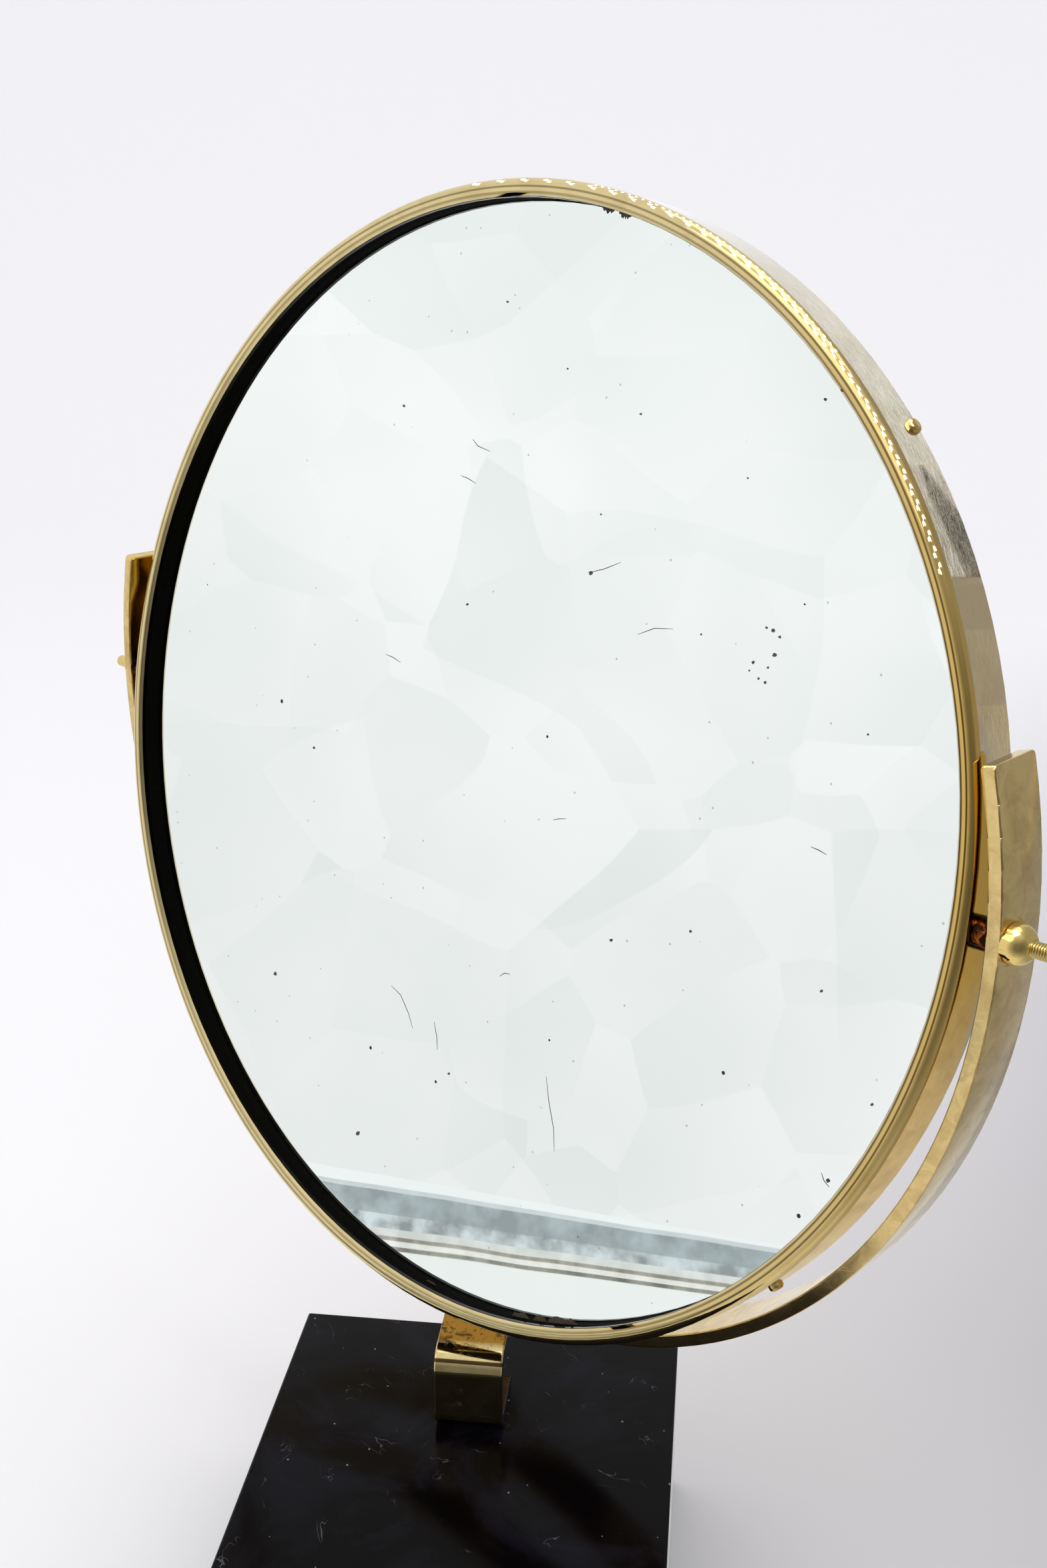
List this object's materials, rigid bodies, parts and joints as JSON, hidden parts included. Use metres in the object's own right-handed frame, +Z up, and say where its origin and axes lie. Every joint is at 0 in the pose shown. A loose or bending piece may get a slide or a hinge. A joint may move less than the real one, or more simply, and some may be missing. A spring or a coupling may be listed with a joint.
{
  "type": "vanity mirror",
  "caption": "Round tilting and swivelling tabletop mirror held in a half-round brass yoke on a black marble block.",
  "frame": {"origin": "centre of the felt's underside, on the surface the mirror stands on", "axes": "+Z up, -Y towards the person who uses it, +X to that person's right; the head is stored swivelled and tilted back as pictured"},
  "size_m": [0.2705, 0.2421, 0.3857],
  "materials": {
    "black_marble": "polished",
    "felt": "matte",
    "stem_brass": "polished",
    "plain_brass": "satin",
    "steel": "satin",
    "yoke_brass": "satin",
    "band_brass": "satin",
    "bezel_brass": "polished",
    "gasket_rubber": "matte",
    "silvered_glass": "gloss",
    "backing_card": "matte",
    "plate_brass": "satin",
    "dark_spacer": "satin",
    "stud_brass": "satin",
    "nut_brass": "polished"
  },
  "bodies": {
    "base": {"marble_base": "black_marble", "felt_pad": "felt", "stem_bracket": "stem_brass", "stem_bolt": "plain_brass", "stem_washer": "steel", "stem_nut": "steel", "swivel_bolt": "plain_brass", "swivel_washer": "plain_brass", "swivel_lock_washer": "steel", "swivel_nut": "plain_brass"},
    "yoke": {"yoke_band": "yoke_brass"},
    "head": {"outer_band": "band_brass", "front_bezel": "bezel_brass", "glass_gasket": "gasket_rubber", "mirror_glass": "silvered_glass", "backing_pad": "backing_card", "back_plate": "plate_brass", "band_screws": "plain_brass", "right_spacer": "dark_spacer", "left_spacer": "dark_spacer", "right_pivot_stud": "stud_brass", "left_pivot_stud": "stud_brass"},
    "right_nut": {"right_dome_nut": "nut_brass"},
    "left_nut": {"left_lock_nut": "nut_brass"}
  },
  "joints": [
    {"name": "yoke_swivel", "type": "hinge", "parent": "base", "child": "yoke", "pos_m": [0, 0.0642, 0.077], "axis": [0, 0, 1], "continuous": true},
    {"name": "mirror_tilt", "type": "hinge", "parent": "yoke", "child": "head", "pos_m": [-0.00225, 0.06126, 0.2368], "axis": [0.7944, -0.6074, 0], "continuous": true},
    {"name": "right_nut_turn", "type": "hinge", "parent": "head", "child": "right_nut", "pos_m": [-0.00225, 0.06126, 0.2368], "axis": [0.7944, -0.6074, 0], "range_deg": [0, 180]},
    {"name": "left_nut_turn", "type": "hinge", "parent": "head", "child": "left_nut", "pos_m": [-0.00225, 0.06126, 0.2368], "axis": [-0.7944, 0.6074, 0], "range_deg": [0, 180]}
  ]
}
